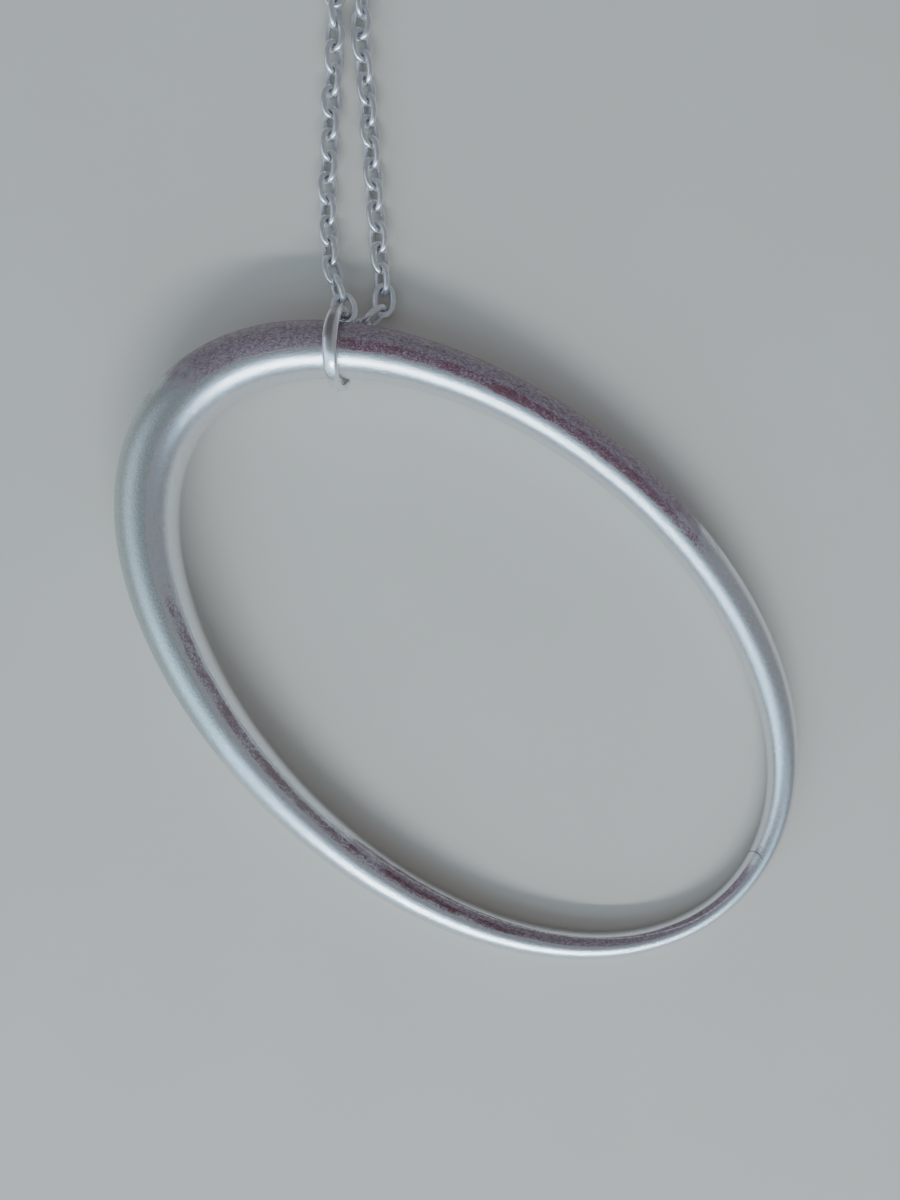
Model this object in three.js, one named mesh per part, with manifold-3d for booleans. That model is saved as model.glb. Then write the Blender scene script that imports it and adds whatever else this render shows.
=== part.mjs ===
// Pendant necklace: an open oval hoop of tapering round tube, hung by a closed ring bail from a fine
// cable chain that ends in a lobster clasp. It lies flat, as it was put down. Millimetres, +Z up.
// The origin is under the middle of the pendant (the hoop and its bail), on the surface it lies on.
import * as THREE from "three";
import { mergeVertices } from "three/addons/utils/BufferGeometryUtils.js";
import Module from "manifold-3d";

const wasm = await Module();
wasm.setup();

// ---------------------------------------------------------------- hoop
const hoop_half_length = 35.9; // middle line of the tube, along the long way
const hoop_half_width = 22.65; // middle line of the tube, across
const hoop_egg = 0.0107; // how far the oval leans towards an egg, as a share
const hoop_turn = -41.4; // degrees from +X to the thin end of the long way
const thick_end = 6.3; // tube across at the thick end
const thin_end = 2.2; // tube across at the thin end
const taper_bulge = 0.22; // keeps the thickness near each end for longer
const taper_side = 0.25; // the side without the bail tapers a little later
const inner_flat = 0.07; // flattening of the side that faces the hoop's middle
const bail_place = 143.2; // degrees round the oval from the thin end to the bail

// ---------------------------------------------------------------- bail
const bail_front = 1.4; // the bail is a flattened wire: its width along the tube, in front
const bail_width = 1.05; // and at the sides and the back, where the chain's end links go round it
const bail_thickness = 0.82; // outwards from the tube
const bail_squareness = 0.8; // 1 gives a true oval section, less gives a squarer one
const bail_play = 0.2; // between the bail and the tube, where the tube has come to rest
const bail_lean = 8.5; // degrees that the bail's top leans towards -X
const bail_yaw = -3.5; // degrees from +Y to the bail's far side, seen from above
const bail_x = -11.71; // where the tube goes through the bail
const bail_y = 27.67;
const rest_gap = 0.02; // between the surface and what lies on it

// ---------------------------------------------------------------- chain
const link_wire = 0.6;
const link_inner_length = 2.1;
const link_inner_width = 1.12;
const left_play = 0.06; // slack between one link's end and the next one's
const right_play = 0.1;
const hook_play = 0.08;
const hook_clearance = 0.36; // round the bail, inside the end link of each strand
const left_hook_angle = -18.0; // degrees round the bail, from level
const right_hook_angle = -50.0;
const left_count = 16; // links drawn one by one in each strand, with its hook link
const right_count = 18;
const strand_gap = 0.25; // between the strands where they run side by side
const tube_sides = 8;
const face_gap = 0.3; // between a plain stretch of chain and what it meets

// ---------------------------------------------------------------- coil of the spare chain
const coil_radius = 13.3; // middle of the turns
const coil_x = 2.22;
const coil_y = 81.28;
const coil_strands = 2; // the doubled chain
const coil_layers = 2;

// ---------------------------------------------------------------- clasp
const clasp_thickness = 1.7;
const claw_reach = 5.5; // from the rivet to the inside of the claw's nose
const claw_wall = 0.8;
const tail_ring = 0.95; // middle radius of the eye at the clasp's tail
const tail_wire = 0.76;
const rivet_radius = 0.35;
const pin_clearance = 0.05;
const lever_thickness = 0.5;
const slot_clearance = 0.08;
const spring_wire = 0.2;
const clasp_turn = -44.0; // degrees from +X to the way the clasp points
const jump_radius = 1.45; // middle radius of the jump ring
const jump_wire = 0.6;
const end_ring_radius = 1.65;
const end_ring_wire = 0.7;
// The rings' places inside the coil: degrees round it, and how far in from its inner side.
const jump_at = [136.273, 4.5145];
const end_ring_at = [38.233, 2.4776];

const deg = Math.PI / 180;
const chain_width = link_inner_width + 2 * link_wire;
// The end link of each strand is wider, because the bail goes through it.
const hook_inner_width = bail_width + hook_clearance;
const hook_inner_length = link_inner_length + hook_clearance / 2;
// Height of the middle of a chain that lies with its links at 45 degrees.
const chain_lie = ((link_inner_width + link_wire) / 2) * Math.SQRT1_2 + link_wire / 2 + rest_gap;

const scene = new THREE.Group();

function metal(colour, roughness) {
  return new THREE.MeshStandardMaterial({ color: colour, roughness: roughness, metalness: 1.0 });
}

function add(name, geometry, colour = 0xc9cdd6, roughness = 0.35, into = scene) {
  const mesh = new THREE.Mesh(geometry, metal(colour, roughness));
  mesh.name = name;
  into.add(mesh);
  return mesh;
}

// A closed ring surface: place(a, b, v) puts the point at angle a round the ring and b round its section.
function ringSurface(steps, sides, place) {
  const ring = new THREE.TorusGeometry(2, 1, sides, steps);
  const at = ring.getAttribute("position");
  const uv = ring.getAttribute("uv");
  const point = new THREE.Vector3();
  for (let i = 0; i < at.count; i += 1) {
    const a = (Math.round(uv.getX(i) * steps) % steps) / steps;
    const b = (Math.round(uv.getY(i) * sides) % sides) / sides;
    place(2 * Math.PI * a, 2 * Math.PI * b, point);
    at.setXYZ(i, point.x, point.y, point.z);
  }
  ring.deleteAttribute("normal");
  ring.deleteAttribute("uv");
  return mergeVertices(ring, 1e-4);
}

// ================================================================ hoop
// Middle line of the tube in the hoop's own plane, measured from the oval's middle.
function hoopLine(a) {
  const swell = 1 - hoop_egg * Math.cos(3 * a);
  const along = hoop_half_length * swell * Math.cos(a);
  const across = hoop_half_width * swell * Math.sin(a);
  const turn = hoop_turn * deg;
  const x = along * Math.cos(turn) - across * Math.sin(turn);
  const y = along * Math.sin(turn) + across * Math.cos(turn);
  return new THREE.Vector2(x, y);
}

function hoopTangent(a) {
  const step = 1e-4;
  return hoopLine(a + step).sub(hoopLine(a - step)).normalize();
}

function tubeRadius(a) {
  const from_thick = Math.PI - a;
  const mean = (thick_end + thin_end) / 2;
  const swing = (thick_end - thin_end) / 2;
  const bulge = taper_bulge * (Math.cos(3 * from_thick) - Math.cos(from_thick));
  const side = taper_side * Math.sin(2 * from_thick);
  return (mean + swing * Math.cos(from_thick) + bulge - side) / 2;
}

const bail_angle = bail_place * deg;
const bail_spot = hoopLine(bail_angle);
const tube_at_bail = tubeRadius(bail_angle);

const hoop_steps = 84;
const hoop_sides = 18;
const hoop = add(
  "hoop",
  ringSurface(hoop_steps, hoop_sides, (a, b, point) => {
    const middle = hoopLine(a).sub(bail_spot);
    const tangent = hoopTangent(a);
    const inward = Math.max(0, -Math.cos(b));
    const radius = tubeRadius(a) * (1 - inner_flat * inward ** 3);
    const out = radius * Math.cos(b);
    point.set(middle.x + out * tangent.y, middle.y - out * tangent.x, radius * Math.sin(b));
  }),
  0xc6c4cf,
  0.34,
);

// ================================================================ bail
// All round a centred tube there is room for the tube's play and, on one side, for a hook link's wire.
const bail_clearance = (bail_play + link_wire + 2 * hook_play) / 2;
const bail_inner = tube_at_bail + bail_clearance;
const bail_radius = bail_inner + bail_thickness / 2;
const lean = bail_lean * deg;
const yaw = bail_yaw * deg;

// The section of the bail's wire: how far out from its middle, and how far along the tube.
function bailSection(a, b) {
  const squared = (c) => Math.sign(c) * Math.abs(c) ** bail_squareness;
  const width = bail_width + (bail_front - bail_width) * Math.max(0, Math.sin(a)) ** 1.5;
  return { out: (bail_thickness / 2) * squared(Math.cos(b)), along: (width / 2) * squared(Math.sin(b)) };
}

// The lowest point of the leaning ring settles its height.
let bail_drop = 0;
for (let b = 0; b < Math.PI; b += Math.PI / 180) {
  const { out, along } = bailSection(-Math.PI / 2, b);
  bail_drop = Math.max(bail_drop, out * Math.cos(lean) + along * Math.sin(lean));
}
const bail_z = bail_radius * Math.cos(lean) + bail_drop + rest_gap;

// The tube rests against the bail away from the two hook links.
const pull = ((left_hook_angle + right_hook_angle) / 2) * deg;
const shift = bail_clearance - bail_play;
const tube_z = bail_z - shift * Math.sin(pull);

// The bail's own frame: its ring lies in the plane of "reach" (about +Y) and "rise".
const reach = new THREE.Vector3(-Math.sin(yaw), Math.cos(yaw), 0);
const rise = new THREE.Vector3(-Math.sin(lean) * Math.cos(yaw), -Math.sin(lean) * Math.sin(yaw), Math.cos(lean));
const bail_middle = new THREE.Vector3(bail_x, bail_y, bail_z).addScaledVector(reach, shift * Math.cos(pull));
const bail_axis = new THREE.Vector3().crossVectors(reach, rise);

function onBail(angle, radius) {
  return bail_middle
    .clone()
    .addScaledVector(reach, radius * Math.cos(angle))
    .addScaledVector(rise, radius * Math.sin(angle));
}

add(
  "bail",
  ringSurface(36, 12, (a, b, point) => {
    const { out, along } = bailSection(a, b);
    point.copy(onBail(a, bail_radius + out));
    point.addScaledVector(bail_axis, along);
  }),
  0xd2d3da,
  0.25,
);

// ================================================================ how the hoop comes to rest
// It is held up at the bail and touches the surface at two more places: of every pair of places,
// the pair whose plane leaves no part of the tube below the surface and its middle lowest.
function restingSlope() {
  const spots = [];
  for (let i = 0; i < hoop_steps; i += 1) {
    const a = (2 * Math.PI * i) / hoop_steps;
    const line = hoopLine(a).sub(bail_spot);
    spots.push({ x: line.x, y: line.y, low: tubeRadius(a) + rest_gap - tube_z });
  }
  let best = null;
  for (const one of spots) {
    for (const two of spots) {
      const det = one.x * two.y - one.y * two.x;
      if (Math.abs(det) < 1) continue;
      const sx = (one.low * two.y - two.low * one.y) / det;
      const sy = (two.low * one.x - one.low * two.x) / det;
      const clear = spots.every((s) => sx * s.x + sy * s.y >= s.low - 1e-6);
      const middle = -sx * bail_spot.x - sy * bail_spot.y;
      if (clear && (best === null || middle < best.middle)) best = { sx, sy, middle };
    }
  }
  return best;
}

const slope = restingSlope();
const hoop_normal = new THREE.Vector3(-slope.sx, -slope.sy, 1).normalize();
hoop.quaternion.setFromUnitVectors(new THREE.Vector3(0, 0, 1), hoop_normal);
hoop.position.set(bail_x, bail_y, tube_z);

// ================================================================ chain links
// One oval link with round ends and gently curved sides: "along" is its long way and "normal" is
// square to its plane. The wire's middle is at x = extra (1.5 cos - 0.5 cos^3) + bend cos, y = bend sin.
function link(name, middle, along, normal, inner_length, inner_width) {
  const extra = (inner_length - inner_width) / 2;
  const bend = (inner_width + link_wire) / 2;
  const side = new THREE.Vector3().crossVectors(normal, along);
  const steps = 16;
  return add(
    name,
    ringSurface(steps, 6, (a, b, point) => {
      const turn = a + Math.PI / steps;
      const c = Math.cos(turn);
      const x = extra * (1.5 * c - 0.5 * c ** 3) + bend * c;
      const y = bend * Math.sin(turn);
      const way = new THREE.Vector2(-(1.5 * extra * (1 - c * c) + bend) * Math.sin(turn), bend * c).normalize();
      const out = (link_wire / 2) * Math.cos(b);
      point.copy(middle).addScaledVector(along, x + out * way.y);
      point.addScaledVector(side, y - out * way.x);
      point.addScaledVector(normal, (link_wire / 2) * Math.sin(b));
    }),
    0xc4c6cc,
    0.3,
  );
}

// The vector square to "along" that is turned by "roll" from straight up.
function rolled(along, roll) {
  const side = new THREE.Vector3(0, 0, 1).cross(along).normalize();
  const up = new THREE.Vector3().crossVectors(along, side);
  return up.multiplyScalar(Math.cos(roll)).addScaledVector(side, Math.sin(roll));
}

// A strand: its hook link goes round the bail, and the others follow the route at one pitch. Each
// link is a quarter turn on from the one before, and "turns" says by how many degrees more the first
// ones are turned; its last number holds for the rest, which lie at 45 degrees. Over the last three
// drawn links the chain turns on until they lie flat and stand upright by turns.
function strand(prefix, hook_angle, points, count, play, turns) {
  const wire_spot = onBail(hook_angle * deg, bail_radius);
  const route = new THREE.CatmullRomCurve3([wire_spot, ...points], false, "centripetal");
  route.arcLengthDivisions = 600;
  const length = route.getLength();
  const hook_half = (hook_inner_length + link_wire) / 2;
  const hook_end = hook_half + hook_half - bail_thickness / 2 - hook_play - link_wire / 2;
  const link_half = (link_inner_length + link_wire) / 2;
  const pitch = link_inner_length - play;
  const wire_way = new THREE.Vector3()
    .addScaledVector(reach, -Math.sin(hook_angle * deg))
    .addScaledVector(rise, Math.cos(hook_angle * deg));
  const start = route.getTangentAt(0);
  const flat = wire_way.addScaledVector(start, -wire_way.dot(start)).normalize();
  link(`${prefix}_link_01`, wire_spot.addScaledVector(start, hook_end - hook_half), start, flat,
    hook_inner_length, hook_inner_width);
  let at = hook_end - link_wire - play / 2 + link_half;
  for (let i = 1; i < count; i += 1) {
    const along = route.getTangentAt(at / length);
    const settled = turns[Math.min(i, turns.length) - 1];
    const flatten = (-90 - settled) * Math.min(1, Math.max(0, i - count + 4) / 3);
    const roll = (90 * i + settled + flatten) * deg;
    const number = String(i + 1).padStart(2, "0");
    link(`${prefix}_link_${number}`, route.getPointAt(at / length), along, rolled(along, roll),
      link_inner_length, link_inner_width);
    at += pitch;
  }
  return { route, length, done: at - pitch + link_half + link_wire / 2 };
}

// A plain stretch of chain: a tube of the chain's width along the points.
function plainStretch(name, points) {
  const section = new THREE.Shape();
  for (let i = 0; i < tube_sides; i += 1) {
    const turn = (2 * Math.PI * (i + 0.5)) / tube_sides;
    const x = (chain_width / 2) * Math.cos(turn);
    const y = (chain_width / 2) * Math.sin(turn);
    if (i === 0) section.moveTo(x, y);
    else section.lineTo(x, y);
  }
  section.closePath();
  const path = new THREE.CatmullRomCurve3(points, false, "centripetal");
  const steps = Math.max(2, points.length - 1, Math.round(path.getLength() / (2.2 * chain_width)));
  const tube = new THREE.ExtrudeGeometry(section, { steps, bevelEnabled: false, extrudePath: path });
  return add(name, tube, 0xc4c6cc, 0.35);
}

const at = (x, y, z = chain_lie) => new THREE.Vector3(x, y, z);
const tube_lie = chain_width / 2 + rest_gap;
const left_x = -12.38; // where the strands run side by side
const right_x = left_x + chain_width + strand_gap;

// The routes, from the bail outwards. Each strand's near points are measured from its place on the
// bail, so they follow the bail, and their share of its height falls to nothing. The far points
// are where the doubled chain runs into the coil.
function fromBail(hook_angle, points) {
  const spot = onBail(hook_angle * deg, bail_radius);
  return points.map(([x, y, share]) => at(spot.x + x, spot.y + y, chain_lie + (spot.z - chain_lie) * share));
}
const left_points = [
  ...fromBail(left_hook_angle, [
    [-0.306, 1.381, 0.8], [-1.006, 3.281, 0.545], [-1.576, 6.081, 0.24], [-1.806, 9.481, 0],
    [-1.886, 12.381, 0], [-1.606, 16.481, 0], [-1.456, 20.181, 0], [-1.256, 22.981, 0],
  ]),
  at(left_x, 57.28, tube_lie), at(left_x, 60.78, tube_lie),
  at(left_x, 68.28, tube_lie), at(left_x, 74.28, tube_lie),
];
const right_points = [
  ...fromBail(right_hook_angle, [
    [1.319, 0.7, 0.5], [3.269, 2.5, 0], [3.219, 4.7, 0], [2.919, 8.3, 0],
    [2.569, 11.9, 0], [2.319, 15.8, 0], [2.019, 19.7, 0], [1.719, 23.6, 0],
  ]),
  at(right_x - 0.02, 57.48, tube_lie), at(right_x, 60.98, tube_lie),
  at(right_x, 65.28, tube_lie), at(right_x, 71.28, tube_lie),
];
const left_strand = strand("left", left_hook_angle, left_points, left_count, left_play, [-30, -38, -45]);
const right_strand = strand("right", right_hook_angle, right_points, right_count, right_play, [20, -5, -30, -45]);

// ================================================================ coil
// The doubled chain wound in layers, as one solid of its outer shape.
const coil_width = coil_strands * (chain_width + 0.1);
const coil_height = coil_layers * 2 * chain_lie;
const coil_outer = coil_radius + coil_width / 2;
const coil_inner = coil_radius - coil_width / 2;
const soft_edge = 0.5;
const coil_profile = [
  [coil_inner + soft_edge, 0],
  [coil_outer - soft_edge, 0],
  [coil_outer, soft_edge],
  [coil_outer, coil_height - soft_edge],
  [coil_outer - soft_edge, coil_height],
  [coil_inner + soft_edge, coil_height],
  [coil_inner, coil_height - soft_edge],
  [coil_inner, soft_edge],
  [coil_inner + soft_edge, 0],
].map(([r, z]) => new THREE.Vector2(r, z));
const coil = add("chain_coil", new THREE.LatheGeometry(coil_profile, 48), 0xc4c6cc, 0.35);
coil.rotation.x = Math.PI / 2;
coil.position.set(coil_x, coil_y, rest_gap);

// Each lead runs on from its strand's last link and stops short of the coil's side.
function lead(name, strandMade) {
  const from = strandMade.done + face_gap;
  const points = [];
  for (let s = from; s < strandMade.length; s += 0.5) {
    const p = strandMade.route.getPointAt(s / strandMade.length);
    const beside = Math.hypot(p.x + chain_width / 2 - coil_x, p.y - coil_y);
    if (beside < coil_outer + face_gap) break;
    points.push(at(p.x, p.y, tube_lie));
  }
  return plainStretch(name, [points[0], points[Math.floor(points.length / 2)], points.at(-1)]);
}
lead("chain_lead_left", left_strand);
lead("chain_lead_right", right_strand);

// ================================================================ clasp and rings
// A plain round ring in the plane square to "axis".
function roundRing(name, middle, axis, radius, wire, into = scene) {
  const one = new THREE.Vector3(1, 0, 0);
  if (Math.abs(axis.dot(one)) > 0.9) one.set(0, 1, 0);
  const first = new THREE.Vector3().crossVectors(axis, one).normalize();
  const second = new THREE.Vector3().crossVectors(axis, first);
  return add(
    name,
    ringSurface(28, 8, (a, b, point) => {
      const out = radius + (wire / 2) * Math.cos(b);
      point.copy(middle).addScaledVector(first, out * Math.cos(a));
      point.addScaledVector(second, out * Math.sin(a));
      point.addScaledVector(axis, (wire / 2) * Math.sin(b));
    }),
    0xcfd1d8,
    0.25,
    into,
  );
}

function solid(geometry) {
  const bare = geometry.clone();
  bare.deleteAttribute("normal");
  bare.deleteAttribute("uv");
  const merged = mergeVertices(bare, 1e-4);
  const vertProperties = merged.getAttribute("position").array;
  const triVerts = new Uint32Array(merged.index.array);
  return new wasm.Manifold(new wasm.Mesh({ numProp: 3, vertProperties, triVerts }));
}

function geometryOf(made) {
  const mesh = made.getMesh();
  const geometry = new THREE.BufferGeometry();
  geometry.setAttribute("position", new THREE.BufferAttribute(mesh.vertProperties, 3));
  geometry.setIndex(new THREE.BufferAttribute(mesh.triVerts, 1));
  return geometry;
}

// A flat plate of the smooth outline through the points, between two heights.
function plate(points, low, high, smooth = true) {
  const corners = points.map(([x, y]) => new THREE.Vector2(x, y));
  const shape = new THREE.Shape();
  shape.moveTo(corners[0].x, corners[0].y);
  if (smooth) shape.splineThru([...corners.slice(1), corners[0]]);
  else corners.slice(1).forEach((p) => shape.lineTo(p.x, p.y));
  const options = { depth: high - low, bevelEnabled: false, curveSegments: 3 };
  return new THREE.ExtrudeGeometry(shape, options).translate(0, 0, low);
}

// The clasp's own frame: the rivet stands at its origin, +X runs to the claw's nose, +Z is up.
const clasp = new THREE.Group();
clasp.rotation.z = clasp_turn * deg;
scene.add(clasp);

const mid_height = clasp_thickness / 2;
const slot_half = lever_thickness / 2 + slot_clearance + spring_wire / 2;
const nose = claw_reach + claw_wall;
const claw_depth = 1.6; // from the rivet's level down to the claw's inner side
const outline = [
  [-2.0, -0.75], [-1.0, -1.6], [0.4, -claw_depth - claw_wall * 0.8],
  [2.4, -claw_depth - claw_wall], [claw_reach - 1.3, -claw_depth - claw_wall * 0.85],
  [nose - 0.45, -1.35], [nose, 0.1], [nose - 0.25, 1.35], [claw_reach - 0.12, 1.5],
  [claw_reach - 0.02, 0.9], [claw_reach, 0.1], [claw_reach - 0.08, -0.95],
  [claw_reach - 1.2, -claw_depth + 0.05], [2.4, -claw_depth], [1.35, -1.15], [1.15, 0.1], [0.95, 0.95],
  [0.0, 1.2], [-1.1, 0.95], [-2.0, 0.6],
];
const lever_line = [
  [-0.75, 0.1], [-0.2, 0.85], [0.45, 1.3], [0.55, 2.3], [1.05, 2.5], [1.5, 1.75],
  [claw_reach - 1.9, 1.75], [claw_reach - 0.35, 1.4], [claw_reach - 0.3, 0.85],
  [claw_reach - 1.8, 1.1], [1.7, 0.85], [0.8, -0.1], [0.1, -0.75], [-0.55, -0.45],
];

function upright(radius, height, low) {
  return new THREE.CylinderGeometry(radius, radius, height, 20)
    .rotateX(Math.PI / 2)
    .translate(0, 0, low + height / 2);
}

const eye_height = tail_ring + tail_wire / 2;
const eye_x = -2.0 - tail_ring + tail_wire / 4;
const eye = new THREE.TorusGeometry(tail_ring, tail_wire / 2, 10, 24)
  .rotateX(Math.PI / 2)
  .translate(eye_x, 0, eye_height);
const slot = plate([[-1.15, -0.95], [2.2, -0.95], [2.2, 3], [-1.15, 3]],
  mid_height - slot_half, mid_height + slot_half, false);
const body = solid(plate(outline, 0, clasp_thickness))
  .add(solid(eye))
  .subtract(solid(slot))
  .subtract(solid(upright(rivet_radius + pin_clearance, clasp_thickness + 1, -0.5)));
add("clasp_body", geometryOf(body), 0xcfd1d8, 0.25, clasp);

const lever_low = mid_height - slot_half + slot_clearance;
const lever = solid(plate(lever_line, lever_low, lever_low + lever_thickness))
  .subtract(solid(upright(rivet_radius + pin_clearance, 2, 0)));
add("clasp_lever", geometryOf(lever), 0xcfd1d8, 0.25, clasp);
add("clasp_rivet", upright(rivet_radius, clasp_thickness - 0.04, 0.02), 0xbfc1c8, 0.3, clasp);

const spring_level = lever_low + lever_thickness + (2 * slot_half - slot_clearance - lever_thickness) / 2;
roundRing("clasp_spring", new THREE.Vector3(0, 0, spring_level), new THREE.Vector3(0, 0, 1),
  rivet_radius + pin_clearance + spring_wire * 0.7, spring_wire * 0.8, clasp);

// The jump ring goes through the eye at the clasp's tail and takes the left strand's end.
const jump_x = eye_x - tail_ring + tail_wire / 2 + 0.15 + jump_wire / 2;
const jump_reach = jump_x - jump_radius + jump_wire * 0.3;
const insideCoil = ([angle, inwards], height) => new THREE.Vector3(
  coil_x + (coil_inner - inwards) * Math.cos(angle * deg),
  coil_y + (coil_inner - inwards) * Math.sin(angle * deg), height);
const jump_spot = insideCoil(jump_at, eye_height + rest_gap);
clasp.position.set(jump_spot.x - jump_reach * Math.cos(clasp_turn * deg),
  jump_spot.y - jump_reach * Math.sin(clasp_turn * deg), rest_gap);
roundRing("jump_ring", jump_spot, new THREE.Vector3(0, 0, 1), jump_radius, jump_wire);

// The plain ring at the right strand's end, which the claw takes when the necklace is worn.
const end_ring_spot = insideCoil(end_ring_at, end_ring_wire / 2 + rest_gap);
roundRing("end_ring", end_ring_spot, new THREE.Vector3(0, 0, 1), end_ring_radius, end_ring_wire);

// The two tails come out of the coil inside it, lie along its inner side and end at their rings.
const tail_reach = coil_inner - face_gap - chain_width / 2;
const inside = (angle, reach_in = 0) =>
  at(coil_x + (tail_reach - reach_in) * Math.cos(angle * deg),
    coil_y + (tail_reach - reach_in) * Math.sin(angle * deg), tube_lie);
const towards = (ring, radius, angle) =>
  at(ring.x + radius * Math.cos(angle * deg), ring.y + radius * Math.sin(angle * deg), tube_lie);
const right_ring_side = end_ring_radius + end_ring_wire / 2 + 2 * face_gap;
plainStretch("chain_tail_right", [
  inside(150), inside(120), inside(92, 0.6), towards(end_ring_spot, right_ring_side, 133),
]);
const left_ring_side = jump_radius + jump_wire / 2 + 2 * face_gap;
plainStretch("chain_tail_left", [
  inside(288), inside(250, 0.6), inside(210, 1.3), towards(jump_spot, left_ring_side, 236),
]);

export default scene;
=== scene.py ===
# %% [markdown]
# # A silver hoop pendant on a cable chain
#
# This notebook builds a pendant necklace as it lies on a table: an open oval hoop of tapering round
# tube, a wire ring (the bail) round the tube, and a fine cable chain that leaves the bail in two
# strands. The packed CAD model gives the places and the sizes. Each cell makes one piece or one
# finish. Every surface is worked out with numpy as a function of two parameters, so there is no
# loop over vertices, and every length below is written in millimetres and turned into metres once.

# %% Load the packed model
import math

import bpy
import numpy as np
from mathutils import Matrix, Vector


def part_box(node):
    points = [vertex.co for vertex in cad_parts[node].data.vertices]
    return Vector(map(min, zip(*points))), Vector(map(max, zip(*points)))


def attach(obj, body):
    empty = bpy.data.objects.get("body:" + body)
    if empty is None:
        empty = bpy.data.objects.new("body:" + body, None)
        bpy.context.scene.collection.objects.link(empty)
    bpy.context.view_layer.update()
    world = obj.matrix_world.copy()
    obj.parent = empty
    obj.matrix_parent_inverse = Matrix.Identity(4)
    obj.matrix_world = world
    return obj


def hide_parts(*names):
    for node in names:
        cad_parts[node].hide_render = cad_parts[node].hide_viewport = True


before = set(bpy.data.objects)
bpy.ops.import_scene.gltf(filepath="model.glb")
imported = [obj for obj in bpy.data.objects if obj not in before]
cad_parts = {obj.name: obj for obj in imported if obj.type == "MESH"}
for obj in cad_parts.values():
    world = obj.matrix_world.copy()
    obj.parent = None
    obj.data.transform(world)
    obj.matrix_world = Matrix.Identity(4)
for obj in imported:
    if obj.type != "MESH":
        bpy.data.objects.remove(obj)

MM = 0.001
TURN = 2 * math.pi
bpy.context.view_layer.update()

# %% [markdown]
# ## The camera
#
# A necklace on a table is looked at from almost straight above. The camera stands 90 mm over the
# hoop, leans three degrees, and has a moderately wide lens, so the far edge of the view is a
# little smaller than the near edge. The lens in millimetres is the sensor's width times the
# distance at which the frame is as wide as it is far, which keeps the framing for any image size.

# %% Camera
camera_data = bpy.data.cameras.new("over_the_table")
camera_data.sensor_fit = "HORIZONTAL"
camera_data.sensor_width = 36.0
camera_data.lens = 36.04
camera_data.clip_start = 0.002
camera_data.clip_end = 10.0
camera = bpy.data.objects.new("over_the_table", camera_data)
camera.location = Vector((-1.35, 8.73, 89.98)) * MM
camera.rotation_euler = (math.radians(-3.0), 0.0, 0.0)
bpy.context.scene.collection.objects.link(camera)
bpy.context.scene.camera = camera
print("camera at", [round(c / MM, 1) for c in camera.location], "mm")

# %% [markdown]
# ## Helpers: closed surfaces on a grid
#
# A ring, a link and a bent tube are all the same kind of surface: a grid that closes on itself
# both ways. One way to make them is a curve with a round bevel, but a curve's section can't change
# shape along its length. So the points are computed on a grid and only the faces are listed here:
# each grid cell is one quad, and the last row and column join the first.

# %% Grid faces and mesh objects
def torus_faces(rows, columns):
    """Quads of a grid of rows x columns points that closes both ways. Cell (i, j) joins
    point (i, j) to its next neighbours, with the next index taken modulo the count."""
    i, j = np.meshgrid(np.arange(rows), np.arange(columns), indexing="ij")
    next_i, next_j = (i + 1) % rows, (j + 1) % columns
    corners = (i * columns + j, next_i * columns + j, next_i * columns + next_j, i * columns + next_j)
    return np.stack([c.ravel() for c in corners], axis=1)


def turn_grid(rows, columns):
    """Two arrays of angles over the grid, each a whole turn in even steps."""
    return np.meshgrid(np.arange(rows) * TURN / rows, np.arange(columns) * TURN / columns, indexing="ij")


def mesh_object(name, points, faces):
    """A smooth mesh object from an array of points in metres and an array of quads, put in with
    foreach_set, one flat list for each kind of data."""
    mesh = bpy.data.meshes.new(name)
    mesh.vertices.add(len(points))
    mesh.vertices.foreach_set("co", np.asarray(points, np.float32).ravel())
    sides = faces.shape[1]
    mesh.loops.add(faces.size)
    mesh.loops.foreach_set("vertex_index", faces.astype(np.int32).ravel())
    mesh.polygons.add(len(faces))
    mesh.polygons.foreach_set("loop_start", np.arange(0, faces.size, sides, dtype=np.int32))
    mesh.polygons.foreach_set("use_smooth", np.full(len(faces), True))
    mesh.update(calc_edges=True)
    mesh.validate()
    piece = bpy.data.objects.new(name, mesh)
    bpy.context.scene.collection.objects.link(piece)
    return piece


def point_attribute(piece, name, values):
    """A number for each point of the mesh, which a material reads by its name."""
    attribute = piece.data.attributes.new(name, "FLOAT", "POINT")
    attribute.data.foreach_set("value", np.asarray(values, np.float32).ravel())


def vector_attribute(piece, name, values):
    """A vector for each point of the mesh."""
    attribute = piece.data.attributes.new(name, "FLOAT_VECTOR", "POINT")
    attribute.data.foreach_set("vector", np.asarray(values, np.float32).ravel())


def turned_out(points, faces):
    """The faces with their fronts outwards. The surface's signed volume is the sum over faces of
    their corners' triple products; where it is negative, each face's corners are listed backwards."""
    a, b, c, d = (points[faces[:, k]] for k in range(4))
    volume = (a * np.cross(b, c)).sum() + (a * np.cross(c, d)).sum()
    return faces if volume > 0 else faces[:, ::-1]


print("a 4 x 3 grid has", len(torus_faces(4, 3)), "quads")

# %% [markdown]
# ## The bail's place
#
# The bail is a closed ring of flattened wire. Its middle, its lean and its size decide where the chain
# is hooked and how high the hoop's tube lies, so its frame comes first: "reach" points along the
# table towards the chain, "rise" points up and a little to the left, and the ring's points are
# found from the two.

# %% Bail frame
BAIL_THICKNESS, BAIL_WIDTH, BAIL_FRONT = 0.82, 1.05, 1.4
BAIL_RADIUS = 3.589
bail_middle = np.array([-11.6958, 27.9017, 3.9908])
lean, yaw = math.radians(8.5), math.radians(-3.5)
reach = np.array([-math.sin(yaw), math.cos(yaw), 0.0])
rise = np.array([-math.sin(lean) * math.cos(yaw), -math.sin(lean) * math.sin(yaw), math.cos(lean)])
bail_axis = np.cross(reach, rise)


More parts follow.
